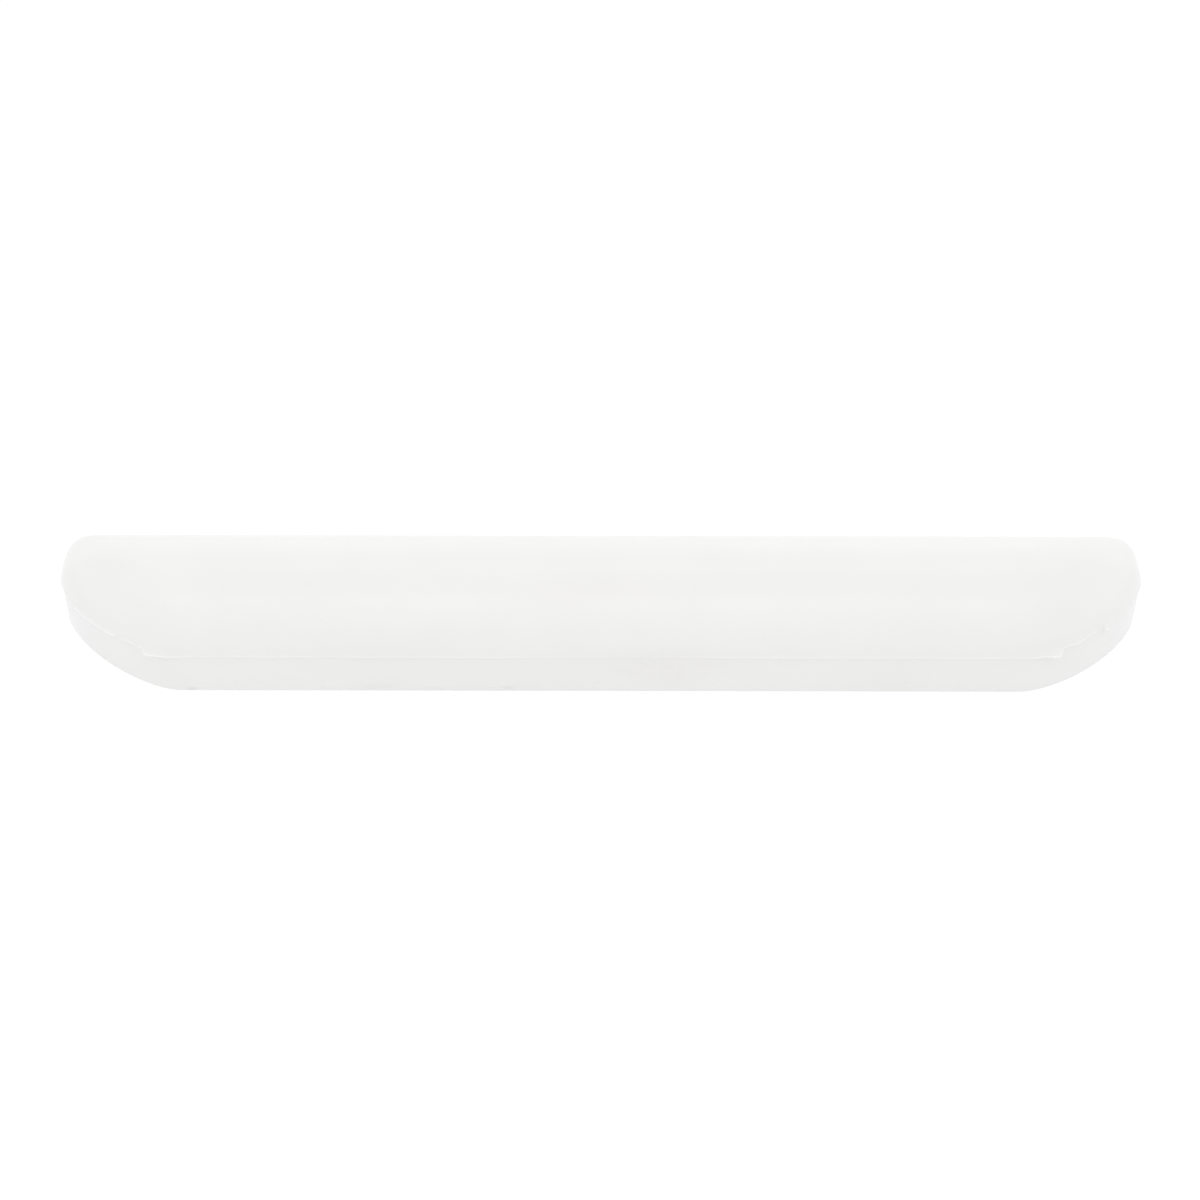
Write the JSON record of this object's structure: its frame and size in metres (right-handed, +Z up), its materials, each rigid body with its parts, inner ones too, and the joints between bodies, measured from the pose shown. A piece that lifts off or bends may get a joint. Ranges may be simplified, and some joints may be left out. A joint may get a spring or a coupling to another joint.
{
  "type": "arm pad",
  "caption": "Full-length arm pad for a shower or commode chair: white self-skinned foam moulded over a steel carrier with tapped fixing bosses.",
  "frame": {"origin": "centre of the flat underside", "axes": "+X along the pad, +Y towards the straight long side, +Z up out of the crowned arm surface"},
  "size_m": [0.355, 0.055, 0.032],
  "materials": {
    "foam_skin": "satin, fine moulded skin",
    "zinc_sheet": "bright zinc plate on pressed sheet",
    "zinc_turned": "bright zinc plate on turned steel",
    "natural_plastic": "unfilled moulded polyethylene"
  },
  "bodies": {
    "root": {"pad_moulding": "foam_skin", "carrier_channel": "zinc_sheet", "fixing_boss_1": "zinc_turned", "fixing_boss_2": "zinc_turned", "fixing_boss_3": "zinc_turned", "fixing_boss_4": "zinc_turned", "boss_cap_1": "natural_plastic", "boss_cap_2": "natural_plastic", "boss_cap_3": "natural_plastic", "boss_cap_4": "natural_plastic"}
  },
  "joints": []
}
